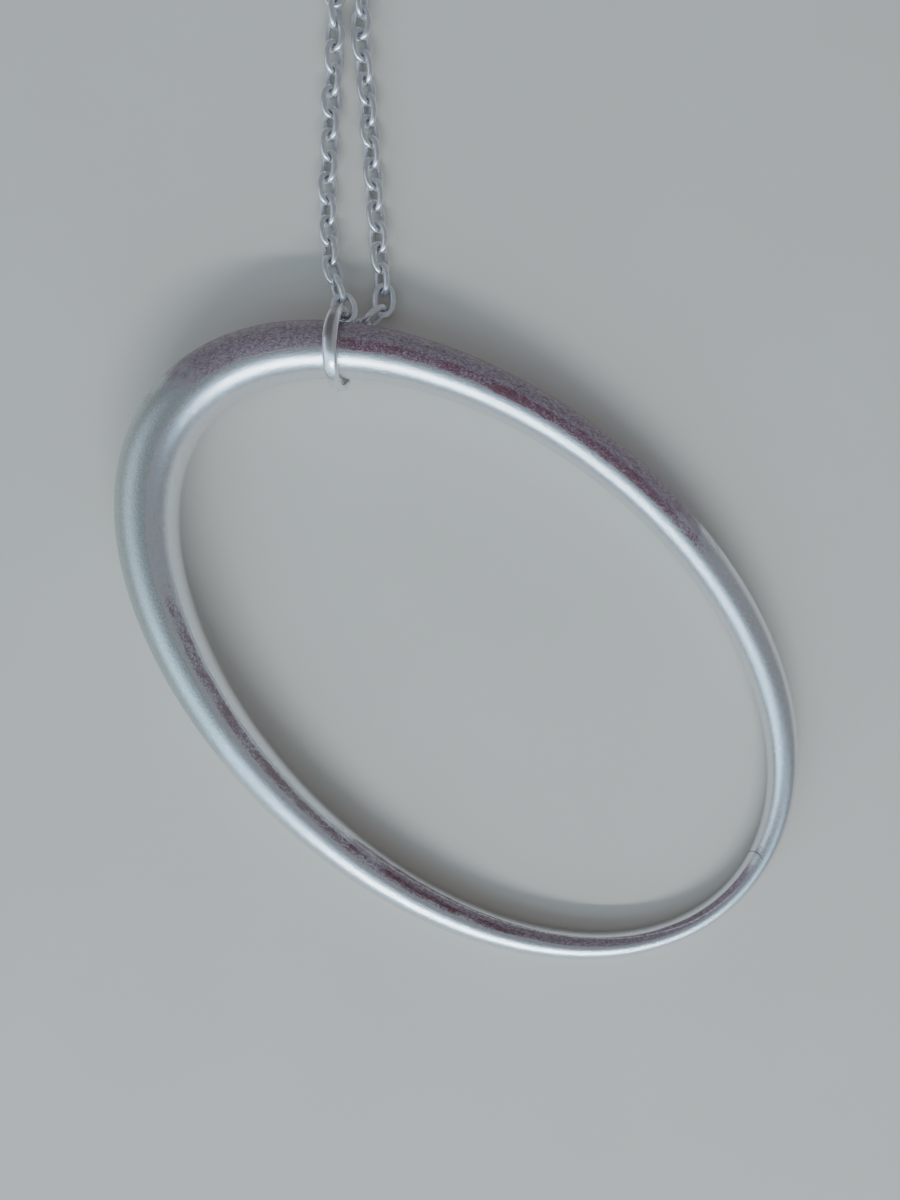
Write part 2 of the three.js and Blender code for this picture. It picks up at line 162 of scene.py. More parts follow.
def on_bail(angle, radius=BAIL_RADIUS):
    """The point at an angle round the bail: middle + radius (cos angle reach + sin angle rise)."""
    angle = np.asarray(angle, float)[..., None]
    radius = np.asarray(radius, float)[..., None]
    return bail_middle + radius * (np.cos(angle) * reach + np.sin(angle) * rise)


print("bail stands", round(float(on_bail(math.radians(90.0))[2] + BAIL_THICKNESS / 2), 2), "mm high")

# %% [markdown]
# ## The chain's route
#
# A chain can't be bent like wire: it is many closed links, and each one follows the line of pull.
# So the route comes first, as a smooth curve through a few chosen points, and the links are hung
# along it afterwards. In view the two strands lie almost side by side. The spare length is put
# away as a neat coil beyond the top of the view: the doubled chain goes round, climbs on to its own
# first turn, and both ends come to rest inside the coil, where the clasp lies.

# %% Smooth route through points
def smooth_route(points, step=0.1):
    """A centripetal Catmull-Rom curve, resampled at even steps. Each stretch is a cubic whose end
    slopes come from its neighbours, and the time between two points is the square root of their
    distance, so the curve neither loops nor overshoots where points are uneven."""
    p = np.asarray(points, float)
    p = np.vstack([2 * p[0] - p[1], p, 2 * p[-1] - p[-2]])
    p0, p1, p2, p3 = (p[k:len(p) - 3 + k] for k in range(4))
    pairs = ((p0, p1), (p1, p2), (p2, p3))
    t1, t2, t3 = (np.sqrt(np.linalg.norm(b - a, axis=1))[:, None] for a, b in pairs)
    slope1 = ((p1 - p0) / t1 - (p2 - p0) / (t1 + t2) + (p2 - p1) / t2) * t2
    slope2 = ((p2 - p1) / t2 - (p3 - p1) / (t2 + t3) + (p3 - p2) / t3) * t2
    s = np.linspace(0, 1, 24, endpoint=False)[None, :, None]
    cubic = (
        p1[:, None] + slope1[:, None] * s
        + (-3 * p1 + 3 * p2 - 2 * slope1 - slope2)[:, None] * s**2
        + (2 * p1 - 2 * p2 + slope1 + slope2)[:, None] * s**3
    ).reshape(-1, 3)
    dense = np.vstack([cubic, p2[-1]])
    along = np.concatenate([[0], np.cumsum(np.linalg.norm(np.diff(dense, axis=0), axis=1))])
    even = np.linspace(0, along[-1], int(round(along[-1] / step)) + 1)
    return np.stack([np.interp(even, along, dense[:, k]) for k in range(3)], axis=1), float(along[-1])


# %% Points of the two halves
LINK_WIRE = 0.6
INNER_LENGTH, INNER_WIDTH = 2.1, 1.12
CHAIN_WIDTH = INNER_WIDTH + 2 * LINK_WIRE
LIE = (INNER_WIDTH + LINK_WIRE) / 2 * math.sqrt(0.5) + LINK_WIRE / 2 + 0.02
STAND = CHAIN_WIDTH / 2 + 0.02
LAYER = 2 * LIE
COIL = np.array([2.22, 81.28, 0.0])
LEFT_X = -12.38
RIGHT_X = LEFT_X + CHAIN_WIDTH + 0.25
CLIMB_START, CLIMB_REACH = 262.0, 50.0  # degrees of the first turn


def round_coil(radius, first, last, count):
    """Points on the coil, clockwise from its left side. The height goes from the table to the
    second layer late in the first turn, before the chain meets its own start."""
    travelled = np.linspace(first, last, count)
    climb = np.clip((travelled - CLIMB_START) / CLIMB_REACH, 0, 1)
    height = LIE + LAYER * climb * climb * (3 - 2 * climb)
    angle = np.radians(180.0 - travelled)
    return COIL + np.stack([radius * np.cos(angle), radius * np.sin(angle), height], axis=1)


def by_coil(*stops):
    """Points given as (radius, angle in degrees, height) from the coil's middle."""
    r, a, z = np.array(stops, float).T
    return COIL + np.stack([r * np.cos(np.radians(a)), r * np.sin(np.radians(a)), z], axis=1)


def ring_side(middle, radius, degrees, height):
    """The point beside a flat ring's middle at an angle, at a height over the table."""
    a = math.radians(degrees)
    return [(middle[0] + radius * math.cos(a), middle[1] + radius * math.sin(a), height)]


left_hook, right_hook = math.radians(-18.0), math.radians(-50.0)
left_seen = [
    (-11.63, 32.68, 2.5), (-12.33, 34.58, 2.0), (-12.90, 37.38, 1.4), (-13.13, 40.78, LIE),
    (-13.21, 43.68, LIE), (-12.93, 47.78, LIE), (-12.78, 51.48, LIE), (-12.58, 54.28, LIE),
    (LEFT_X, 57.28, STAND), (LEFT_X, 60.78, STAND), (LEFT_X, 68.28, STAND), (LEFT_X, 74.28, LIE),
]
right_seen = [
    (-9.83, 30.88, 1.1), (-7.88, 32.68, LIE), (-7.93, 34.88, LIE), (-8.23, 38.48, LIE),
    (-8.58, 42.08, LIE), (-8.83, 45.98, LIE), (-9.13, 49.88, LIE), (-9.43, 53.78, LIE),
    (RIGHT_X - 0.02, 57.48, STAND), (RIGHT_X, 60.98, STAND), (RIGHT_X, 65.28, STAND),
    (RIGHT_X, 71.28, LIE), (RIGHT_X, 76.18, LIE),
]
jump_ring_middle = np.array([-2.38, 85.68, 1.35])
end_ring_middle = np.array([8.82, 86.48, 0.37])
JUMP_RADIUS, END_RADIUS = 1.45, 1.65
left_points = np.vstack([
    on_bail(left_hook)[None], left_seen, round_coil(14.50, 0.0, 537.0, 37),
    by_coil((14.0, -7, 3.3), (13.1, -16, 4.3), (11.9, -26, 4.6), (10.7, -37, 3.6), (9.9, -49, 2.2),
            (9.5, -61, 1.2), (9.5, -72, LIE), (9.2, -92, LIE), (8.9, -110, LIE), (8.5, -130, LIE),
            (8.2, -150, LIE)),
    ring_side(jump_ring_middle, JUMP_RADIUS + 1.4, 236, 1.15),
    ring_side(jump_ring_middle, JUMP_RADIUS, 236, 1.35),
])
right_points = np.vstack([
    on_bail(right_hook)[None], right_seen, round_coil(12.08, 0.0, 708.0, 48),
    by_coil((11.5, 177, 2.5), (10.6, 167, 1.7), (9.9, 158, 1.15), (9.5, 150, LIE), (9.5, 135, LIE),
            (9.5, 120, LIE), (9.2, 105, LIE), (8.9, 92, LIE)),
    ring_side(end_ring_middle, END_RADIUS + 1.6, 133, 1.0),
    ring_side(end_ring_middle, END_RADIUS + 0.2, 133, 0.95),
])
left_route, left_length = smooth_route(left_points)
right_route, right_length = smooth_route(right_points)
print("left half", round(left_length, 1), "mm, right half", round(right_length, 1), "mm")

# %% [markdown]
# ## The links
#
# Each link of a cable chain is a round wire bent into an oval with straight sides and soldered
# shut. A link is made once as an array of points, and copies of it are placed with one matrix
# each, all in a single array product. Neighbours are turned a quarter turn against each other, so
# a chain at rest lies with its links at 45 degrees to the table. The links in view have a fine
# grid; those in the coil, which are many, have a coarse one.

# %% One link, and many
HOOK_WIDTH = BAIL_WIDTH + 0.36
HOOK_LENGTH = INNER_LENGTH + 0.18
HOOK_PLAY = 0.08
FINE_GRID, COARSE_GRID = (48, 16), (16, 6)  # steps along the wire, sides round it


def oval_link(steps, sides, inner_length, inner_width, wire=LINK_WIRE):
    """Points of one link in its own plane, its long way along x. The middle of the wire is at
    x = extra (1.5 cos t - 0.5 cos^3 t) + bend cos t, y = bend sin t: ends as round as a half
    circle, sides gently curved. The section is a circle square to that line, whose direction is
    its derivative."""
    bend = (inner_width + wire) / 2
    extra = (inner_length - inner_width) / 2
    t, b = turn_grid(steps, sides)
    t = t + TURN / steps / 2
    c, s = np.cos(t), np.sin(t)
    way = np.stack([-(1.5 * extra * (1 - c * c) + bend) * s, bend * c], axis=-1)
    way /= np.linalg.norm(way, axis=-1, keepdims=True)
    out = wire / 2 * np.cos(b)
    x = extra * (1.5 * c - 0.5 * c**3) + bend * c + out * way[..., 1]
    y = bend * s - out * way[..., 0]
    return np.stack([x, y, wire / 2 * np.sin(b)], axis=-1).reshape(-1, 3)


def route_at(route, length, s):
    """Places and directions at distances s along an evenly sampled route."""
    t = np.clip(np.asarray(s, float) / length, 0, 1) * (len(route) - 1)
    place = np.stack([np.interp(t, np.arange(len(route)), route[:, k]) for k in range(3)], axis=-1)
    slope = np.gradient(route, axis=0)
    way = np.stack([np.interp(t, np.arange(len(route)), slope[:, k]) for k in range(3)], axis=-1)
    return place, way / np.linalg.norm(way, axis=-1, keepdims=True)


def rolled(way, roll):
    """The direction square to way, turned by roll from straight up."""
    side = np.cross([0.0, 0.0, 1.0], way)
    side /= np.linalg.norm(side, axis=-1, keepdims=True)
    up = np.cross(way, side)
    return up * np.cos(roll)[..., None] + side * np.sin(roll)[..., None]


def hang_links(template, place, way, normal):
    """Copies of a link: each point (x, y, z) goes to place + x way + y side + z normal, for all
    copies and all points at once."""
    side = np.cross(normal, way)
    axes = np.stack([way, side, normal], axis=1)
    return place[:, None, :] + np.einsum("vk,nkc->nvc", template, axes)


def inner_side(steps, sides, count):
    """For every point of count links, 0 on the oval's outer side and 1 on its inner side."""
    return np.tile((1 - np.cos(np.arange(sides) * TURN / sides)) / 2, steps * count)


def half_chain(name, route, length, hook_angle, play, turns, drawn, seed):
    """One half of the chain as a single mesh of closed links. Each link is a quarter turn on from
    the one before. "turns" says by how many degrees more the first ones are turned, and its last
    number holds for the rest, which lie at 45 degrees; about link number "drawn" they turn on,
    to lie flat and stand upright by turns, and then turn back. A small seeded unevenness is added,
    because no link lies exactly as the next one does."""
    hook_half = (HOOK_LENGTH + LINK_WIRE) / 2
    hook_end = 2 * hook_half - BAIL_THICKNESS / 2 - HOOK_PLAY - LINK_WIRE / 2
    link_half = (INNER_LENGTH + LINK_WIRE) / 2
    pitch = INNER_LENGTH - play
    place, way = route_at(route, length, [0.0])
    wire_way = -math.sin(hook_angle) * reach + math.cos(hook_angle) * rise
    flat = wire_way - wire_way @ way[0] * way[0]
    flat /= np.linalg.norm(flat)
    hook = oval_link(*FINE_GRID, HOOK_LENGTH, HOOK_WIDTH)
    hook = hang_links(hook, place + (hook_end - hook_half) * way, way, flat[None])
    start = hook_end - LINK_WIRE - play / 2 + link_half
    count = int((length - start + 0.3) / pitch) + 1
    number = np.arange(1, count + 1)
    where = start + pitch * (number - 1)
    place, way = route_at(route, length, where)
    random = np.random.default_rng(seed)
    settled = np.array(turns)[np.minimum(number, len(turns)) - 1]
    flatten = np.clip((number - drawn + 3) / 3, 0, 1) * np.clip((drawn + 6 - number) / 3, 0, 1)
    uneven = random.normal(0, 3.0, count)
    roll = np.radians(90.0 * number + settled + (-90 - settled) * flatten + uneven)
    normal = rolled(way, roll)
    near = number <= drawn + 2
    fine = oval_link(*FINE_GRID, INNER_LENGTH, INNER_WIDTH)
    coarse = oval_link(*COARSE_GRID, INNER_LENGTH, INNER_WIDTH)
    seen = hang_links(fine, place[near], way[near], normal[near])
    far = hang_links(coarse, place[~near], way[~near], normal[~near])
    points = np.vstack([hook.reshape(-1, 3), seen.reshape(-1, 3), far.reshape(-1, 3)])
    fine_count, coarse_count = 1 + int(near.sum()), int((~near).sum())
    first = np.arange(fine_count) * len(fine)
    fine_faces = (torus_faces(*FINE_GRID)[None] + first[:, None, None]).reshape(-1, 4)
    first = fine_count * len(fine) + np.arange(coarse_count) * len(coarse)
    coarse_faces = (torus_faces(*COARSE_GRID)[None] + first[:, None, None]).reshape(-1, 4)
    faces = turned_out(points, np.vstack([fine_faces, coarse_faces]))
    piece = mesh_object(name, points * MM, faces)
    inner = [inner_side(*FINE_GRID, fine_count), inner_side(*COARSE_GRID, coarse_count)]
    point_attribute(piece, "inner", np.concatenate(inner))
    lowest = round(float(points[:, 2].min()), 3)
    print(name, "has", count + 1, "links and", len(faces), "quads; its lowest point is at", lowest)
    print("  it ends at", round(float(where[-1] + link_half), 2), "of", round(length, 2), "mm")
    return piece


chain_left = half_chain("chain_left", left_route, left_length, left_hook, 0.06, (-30, -38, -45), 15, 3)
chain_right = half_chain("chain_right", right_route, right_length, right_hook, 0.1, (20, -5, -30, -45), 17, 8)

# %% [markdown]
# ## The chain's halves in place of its CAD solids
#
# Each half leaves the object at the bail, is as long as its route and as wide as a link. Both are put
# under one body, and the chain's CAD solids, which the two halves stand for, are hidden.

nodes = sorted(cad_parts)
left_nodes = [n for n in nodes if n.startswith("left_link_")]
left_nodes += ["chain_lead_left", "chain_tail_left", "chain_coil"]
right_nodes = [n for n in nodes if n.startswith("right_link_")] + ["chain_lead_right", "chain_tail_right"]
for piece, hidden in ((chain_left, left_nodes), (chain_right, right_nodes)):
    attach(piece, "chain")
    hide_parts(*hidden)
print("the chain is", round(left_length + right_length), "mm long without its clasp")

# %% [markdown]
# ## The hoop
#
# The pendant is one tube bent into a slightly egg-shaped oval. It is thick at one end and thin at
# the other, and the side that faces the hoop's middle is a little flatter, with a soft edge where
# the flat meets the round. The grid's first parameter goes round the oval and the second round
# the tube's section. The tube rests on the table at two places and is held up at the bail, so the
# resting plane is found as for a three-legged stool: of all pairs of touching places, the pair
# that leaves nothing below the table and the hoop's middle lowest.

# %% Hoop formulas
HALF_LENGTH, HALF_WIDTH, EGG, HOOP_TURN = 35.9, 22.65, 0.0107, math.radians(-41.4)
THICK_END, THIN_END, TAPER_BULGE, TAPER_SIDE = 6.3, 2.2, 0.22, 0.25
INNER_FLAT = 0.07
BAIL_PLACE = math.radians(143.2)
tube_spot = np.array([-11.71, 27.67, 4.1473])


def hoop_line(a):
    """Middle of the tube in the hoop's plane: an oval whose radius swells by -egg cos 3a,
    turned to its place."""
    swell = 1 - EGG * np.cos(3 * a)
    along, across = HALF_LENGTH * swell * np.cos(a), HALF_WIDTH * swell * np.sin(a)
    c, s = math.cos(HOOP_TURN), math.sin(HOOP_TURN)
    return np.stack([along * c - across * s, along * s + across * c], axis=-1)


def hoop_out(a):
    """The direction in the hoop's plane that points out of the hoop, square to its middle line."""
    way = hoop_line(a + 1e-4) - hoop_line(a - 1e-4)
    way /= np.linalg.norm(way, axis=-1, keepdims=True)
    return np.stack([way[..., 1], -way[..., 0]], axis=-1)


def tube_radius(a):
    """Half the tube's thickness: the mean of the two ends, plus half their difference times the
    cosine from the thick end, plus a bulge and a lean to one side."""
    f = math.pi - a
    mean, swing = (THICK_END + THIN_END) / 2, (THICK_END - THIN_END) / 2
    bulge = TAPER_BULGE * (np.cos(3 * f) - np.cos(f))
    return (mean + swing * np.cos(f) + bulge - TAPER_SIDE * np.sin(2 * f)) / 2


def resting_slope():
    """The slopes of the hoop's plane for every pair of places that touch, all pairs at once,
    then the pair with nothing below the table and the lowest middle."""
    places = 84
    a = np.arange(places) * TURN / places
    spot = hoop_line(a) - hoop_line(BAIL_PLACE)
    low = tube_radius(a) + 0.02 - tube_spot[2]
    x, y = spot.T
    det = np.outer(x, y) - np.outer(y, x)
    safe = np.where(np.abs(det) < 1, np.inf, det)
    sx = (np.outer(low, y) - np.outer(y, low)) / safe
    sy = (np.outer(x, low) - np.outer(low, x)) / safe
    clear = (sx[..., None] * x + sy[..., None] * y >= low - 1e-6).all(axis=-1) & (np.abs(det) >= 1)
    middle = np.where(clear, -(sx * hoop_line(BAIL_PLACE)[0] + sy * hoop_line(BAIL_PLACE)[1]), np.inf)
    best = np.unravel_index(np.argmin(middle), middle.shape)
    return float(sx[best]), float(sy[best])


slope_x, slope_y = resting_slope()
hoop_normal = np.array([-slope_x, -slope_y, 1.0])
hoop_normal /= np.linalg.norm(hoop_normal)
turn_axis = np.cross([0, 0, 1.0], hoop_normal)
x, y, z = turn_axis
skew = np.array([[0, -z, y], [z, 0, -x], [-y, x, 0]])
hoop_tilt = np.eye(3) + skew + skew @ skew / (1 + hoop_normal[2])
print("hoop's plane leans", round(math.degrees(math.acos(hoop_normal[2])), 2), "degrees")

# %% Hoop surface
HOOP_STEPS, HOOP_SIDES = 720, 80
a, b = turn_grid(HOOP_STEPS, HOOP_SIDES)
inward = np.maximum(0, -np.cos(b))
radius = tube_radius(a) * (1 - INNER_FLAT * inward**3)
out = hoop_out(a)
flat_points = np.concatenate([
    (hoop_line(a) - hoop_line(BAIL_PLACE)) + radius[..., None] * np.cos(b)[..., None] * out,
    (radius * np.sin(b))[..., None],
], axis=-1)
hoop_points = (flat_points @ hoop_tilt.T + tube_spot).reshape(-1, 3)
hoop_faces = turned_out(hoop_points, torus_faces(HOOP_STEPS, HOOP_SIDES))
hoop = mesh_object("pendant_hoop", hoop_points * MM, hoop_faces)
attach(hoop, "pendant_hoop")
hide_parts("hoop")
MEAN_RADIUS, STRETCH = 29, 0.55  # the oval's mean radius, and the grain's scale along the tube
ring = MEAN_RADIUS * STRETCH
vector_attribute(hoop, "lay", np.stack([ring * np.cos(a), ring * np.sin(a), radius * np.cos(b)], axis=-1))
point_attribute(hoop, "lay_w", radius * np.sin(b))
hoop_way, hoop_side = np.degrees(a), np.degrees(np.mod(b + math.pi / 2, TURN)) - 90.0
hoop_radius = radius
cad_low, cad_high = (np.array(c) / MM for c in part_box("hoop"))
print("hoop spans", hoop_points.min(0).round(2), "to", hoop_points.max(0).round(2))
print("CAD hoop  ", cad_low.round(2), "to", cad_high.round(2))

# %% [markdown]
# ## The bail
#
# A ring of flattened wire, soldered shut. Its section is a rounded rectangle, wider at the front of
# the ring than at the back, where the chain's end links have to slide round it.

# %% Bail surface
BAIL_STEPS, BAIL_SIDES, SQUARENESS = 240, 48, 0.8
a, b = turn_grid(BAIL_STEPS, BAIL_SIDES)
square_cos = np.sign(np.cos(b)) * np.abs(np.cos(b)) ** SQUARENESS
square_sin = np.sign(np.sin(b)) * np.abs(np.sin(b)) ** SQUARENESS
width = BAIL_WIDTH + (BAIL_FRONT - BAIL_WIDTH) * np.maximum(0, np.sin(a)) ** 1.5
bail_line = on_bail(a, BAIL_RADIUS + BAIL_THICKNESS / 2 * square_cos)
bail_points = (bail_line + (width / 2 * square_sin)[..., None] * bail_axis).reshape(-1, 3)
bail_faces = turned_out(bail_points, torus_faces(BAIL_STEPS, BAIL_SIDES))
bail = mesh_object("ring_bail", bail_points * MM, bail_faces)
point_attribute(bail, "round_ring", np.mod(np.degrees(a) + 180, 360) - 180)
point_attribute(bail, "across", np.where(np.cos(b) > 0, np.sin(b), np.sign(np.sin(b)) + (np.sin(b) == 0)))
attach(bail, "pendant_bail")
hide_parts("bail")
cad_low, cad_high = (np.array(c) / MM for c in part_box("bail"))
print("bail spans", bail_points.min(0).round(2), "to", bail_points.max(0).round(2))
print("CAD bail  ", cad_low.round(2), "to", cad_high.round(2))

# %% [markdown]
# ## The hoop's tarnish and painted dark reflections as a map
#
# Silver darkens where hands and cloth don't rub it. On this hoop a mauve film covers the outer half
# of the upper arc and a second band runs along the inner side of the lower arc. Both bands are partly
# this tarnish and partly a painted dark reflection of what lies above and beside the hoop. Dark red
# specks lie along both bands' borders, and the thick end is a mottled grey green. Each region is a product of
# two windows, in degrees: one round the oval from its thin end, and one round the tube from its
# outer side over the top. They are stored on the points as soft masks, and the materials break
# their borders up with noise. A painted image would do the same job, but it would have to be drawn
# by hand and would blur when seen near. Two fine lines, the solder seam and the crease with its painted
# highlight dots, are stored as distances in mm, because a mask as narrow as they are would fall between the
# points.

# %% Masks on the hoop
def window(value, low, high, soft):
    """1 between low and high, falling smoothly to 0 over soft outside them:
    the product of two smooth steps, each 3t^2 - 2t^3."""
    up = np.clip((value - low) / soft + 1, 0, 1)
    down = np.clip((high - value) / soft + 1, 0, 1)
    return up * up * (3 - 2 * up) * down * down * (3 - 2 * down)


low_arc = np.mod(hoop_way - 180, 360) + 180
# The mauve mask is partly real tarnish and partly a painted dark reflection of what lies above and beside the
# hoop.
upper = window(hoop_way, 97, 158, 42) * window(hoop_side, -60, 88, 16)
middle_of_band = 132 - 12 * window(low_arc, 335, 372, 50)
lower = window(low_arc, 292, 352, 38) * window(hoop_side - middle_of_band, -8, 22, 12)
point_attribute(hoop, "mauve", np.maximum(upper, 0.95 * lower))
specks = np.maximum(
    window(low_arc, 232, 300, 26) * window(hoop_side, 113, 128, 10),
    window(hoop_way, 84, 138, 22) * window(hoop_side, 76, 92, 12),
)
point_attribute(hoop, "specks", specks)
point_attribute(hoop, "haze", window(hoop_way, 178, 238, 26) * window(hoop_side, 30, 92, 18))
SEAM_PLACE = 10.0
seam_way = np.mod(hoop_way - SEAM_PLACE + 180, 360) - 180 + 0.9 * np.sin(np.radians(hoop_side) * 2)
point_attribute(hoop, "seam_at", np.clip(np.radians(seam_way) * MEAN_RADIUS, -3, 3))
point_attribute(hoop, "seam_side", window(hoop_side, 98, 200, 8))
crease_side = 139 + 10 * window(low_arc, 300, 330, 40) - 26 * window(low_arc, 350, 380, 35)
point_attribute(hoop, "crease_at", np.clip(np.radians(hoop_side - crease_side) * hoop_radius, -2, 2))
point_attribute(hoop, "crease_way", window(low_arc, 232, 352, 14))
print("mauve covers", round(100 * float(np.maximum(upper, lower).mean()), 1), "% of the hoop")

# %% [markdown]
# ## Finishes
#
# Worn silver is a metal whose colour is nearly white, so what is seen is mostly the room. Three
# things make it look worn: the roughness changes from place to place, a fine grain tilts the
# surface by a hair, and the tarnish is darker, rougher and less metallic. The grain is noise in
# four dimensions. The tube's surface closes both ways, and a flat map of it would show a seam,
# but the cosines and sines of its two angles make a seamless place in four-dimensional space.

# %% Node helpers
SILVER_PALE, SILVER_MID = (0.96, 0.96, 0.97, 1), (0.84, 0.84, 0.87, 1)
# The two mauve colours are partly the film's own colour and partly a painted dark reflection.
FILM_AND_REFLECTION_DARK, FILM_AND_REFLECTION_PALE = (0.12, 0.06, 0.08, 1), (0.46, 0.33, 0.39, 1)
# OXIDE_RED is oxide; the brown beside it is painted shade for the inner sides of the chain's links.
OXIDE_RED, LINK_SHADE_BROWN = (0.20, 0.06, 0.09, 1), (0.33, 0.27, 0.29, 1)
GREY_GREEN, PIT_GREY = (0.46, 0.53, 0.48, 1), (0.22, 0.20, 0.20, 1)


class Material:
    """A material and short names for its nodes. Every method that makes a node returns its output."""

    def __init__(self, name):
        self.material = bpy.data.materials.new(name)
        self.material.use_nodes = True
        self.tree = self.material.node_tree
        self.shader = self.tree.nodes["Principled BSDF"]

    def feed(self, socket, value):
        """A link if the value is another node's output, else a plain value."""
        if hasattr(value, "is_output"):
            self.tree.links.new(value, socket)
        else:
            socket.default_value = value

    def finish(self, **values):
        """Values for the shader's inputs, by name, with _ for a space."""
        for name, value in values.items():
            self.feed(self.shader.inputs[name.replace("_", " ")], value)
        print("material", self.material.name, "has", len(self.tree.nodes), "nodes")

    def attribute(self, name, output="Fac"):
        """A number or a vector that was stored on the points."""
        node = self.tree.nodes.new("ShaderNodeAttribute")
        node.attribute_name = name
        return node.outputs[output]

    def object_place(self, factor=1.0):
        """The place on the object, in metres times a factor."""
        node = self.tree.nodes.new("ShaderNodeVectorMath")
        node.operation = "SCALE"
        self.feed(node.inputs[0], self.tree.nodes.new("ShaderNodeTexCoord").outputs["Object"])
        node.inputs["Scale"].default_value = factor
        return node.outputs[0]

    def math(self, kind, first, second=0.0):
        """One arithmetic step."""
        node = self.tree.nodes.new("ShaderNodeMath")
        node.operation = kind
        self.feed(node.inputs[0], first)
        self.feed(node.inputs[1], second)
        return node.outputs[0]

    def plus(self, first, second):
        return self.math("ADD", first, second)

    def times(self, first, second):
        return self.math("MULTIPLY", first, second)

    def around(self, noise, amount):
        """Noise moved to lie around zero, times an amount."""
        return self.times(self.math("SUBTRACT", noise, 0.5), amount)

    def line(self, distance, half, soft):
        """1 within half of a line and 0 from soft on, from the distance to it."""
        return self.step(self.math("ABSOLUTE", distance), half, soft, 1.0, 0.0)

    def noise(self, vector, scale, detail, roughness, w=None):
        """Fractal noise in three dimensions, or in four where w is given."""
        node = self.tree.nodes.new("ShaderNodeTexNoise")
        node.noise_dimensions = "3D" if w is None else "4D"
        self.feed(node.inputs["Vector"], vector)
        if w is not None:
            self.feed(node.inputs["W"], w)
        for name, value in (("Scale", scale), ("Detail", detail), ("Roughness", roughness)):
            node.inputs[name].default_value = value
        return node.outputs[0]

    def step(self, value, low, high, out_low=0.0, out_high=1.0):
        """A smooth step from out_low at low to out_high at high."""
        node = self.tree.nodes.new("ShaderNodeMapRange")
        node.interpolation_type = "SMOOTHSTEP"
        sockets = ("Value", "From Min", "From Max", "To Min", "To Max")
        for name, number in zip(sockets, (value, low, high, out_low, out_high)):
            self.feed(node.inputs[name], number)
        return node.outputs[0]

    def mix(self, amount, first, second):
        """The first colour, and the second one by an amount. Inputs 6 and 7 are the colours A, B."""
        node = self.tree.nodes.new("ShaderNodeMix")
        node.data_type = "RGBA"
        for socket, value in ((0, amount), (6, first), (7, second)):
            self.feed(node.inputs[socket], value)
        return node.outputs[2]

    def bump(self, height, strength, distance):
        """A normal tilted by a height; distance is the height of 1, in metres."""
        node = self.tree.nodes.new("ShaderNodeBump")
        node.inputs["Strength"].default_value = strength
        node.inputs["Distance"].default_value = distance
        self.feed(node.inputs["Height"], height)
        return node.outputs[0]


print("helpers:", [name for name in vars(Material) if not name.startswith("_")])

# %% [markdown]
# ## The hoop's finish
#
# Grain is the fine mottle, patch the slow change from place to place, and fleck the single specks.
# The masks are added to the noise before they are cut by a step, so that a border becomes ragged
# instead of fading. Then the layers go on one over another: clean metal, small pits, the green haze,
# the mauve film with its painted dark reflection, red oxide, the dark solder seam and painted highlight dots
# along the crease.

# %% Hoop material
satin = Material("satin_silver")
lay = satin.attribute("lay", "Vector")
lay_w = satin.attribute("lay_w")
grain = satin.noise(lay, 6.5, 5.0, 0.7, lay_w)
patch = satin.noise(lay, 1.1, 3.0, 0.55, lay_w)
fleck = satin.noise(lay, 12.0, 3.0, 0.6, lay_w)
pits = satin.step(satin.noise(lay, 14.0, 1.0, 0.5, lay_w), 0.69, 0.75)
ragged = satin.plus(satin.around(patch, 0.9), satin.around(grain, 1.1))
# The mauve layer is partly tarnish and partly a painted dark reflection.
mauve = satin.step(satin.plus(satin.attribute("mauve"), ragged), 0.34, 0.72)
haze = satin.step(satin.plus(satin.attribute("haze"), ragged), 0.35, 0.85)
near_border = satin.attribute("specks")
likely = satin.plus(satin.times(near_border, 0.27), satin.times(patch, 0.35))
speck = satin.step(satin.plus(likely, satin.times(fleck, 0.75)), 0.74, 0.84)
speck = satin.times(speck, satin.step(near_border, 0.05, 0.5))
seam = satin.line(satin.plus(satin.attribute("seam_at"), satin.around(patch, 0.25)), 0.03, 0.09)
seam = satin.times(seam, satin.attribute("seam_side"))
crease = satin.times(satin.line(satin.attribute("crease_at"), 0.03, 0.10), satin.attribute("crease_way"))
# Near-white dots along the crease are a painted highlight: the glints of its edge.
crease_glint = satin.times(crease, satin.step(fleck, 0.42, 0.58))

colour = satin.mix(satin.step(grain, 0.35, 0.7), (0.80, 0.82, 0.85, 1), (0.95, 0.96, 0.97, 1))
film_and_reflection = satin.mix(satin.step(grain, 0.34, 0.64), FILM_AND_REFLECTION_DARK, FILM_AND_REFLECTION_PALE)
# In these layers the mauve film carries a painted dark reflection, and the near-white layer on the crease is
# a painted highlight.
for mask, amount, layer in (
    (pits, 0.3, PIT_GREY), (haze, 0.62, GREY_GREEN), (mauve, 0.86, film_and_reflection), (speck, 0.8, OXIDE_RED),
    (seam, 0.8, (0.10, 0.07, 0.07, 1)), (crease_glint, 0.9, (0.97, 0.97, 0.98, 1)),
):
    colour = satin.mix(satin.times(mask, amount), colour, layer)
dull = satin.math("MAXIMUM", mauve, satin.times(haze, 0.6))
relief = satin.plus(satin.plus(grain, satin.times(fleck, 0.5)), satin.times(crease, 0.8))
relief = satin.math("SUBTRACT", relief, satin.times(seam, 1.2))
satin.finish(
    Base_Color=colour,
    Metallic=satin.step(satin.math("MAXIMUM", mauve, speck), 0.0, 1.0, 1.0, 0.55),
    Roughness=satin.plus(satin.step(grain, 0.3, 0.75, 0.22, 0.10), satin.times(dull, 0.2)),
    Normal=satin.bump(relief, 0.55, 0.00005),
)
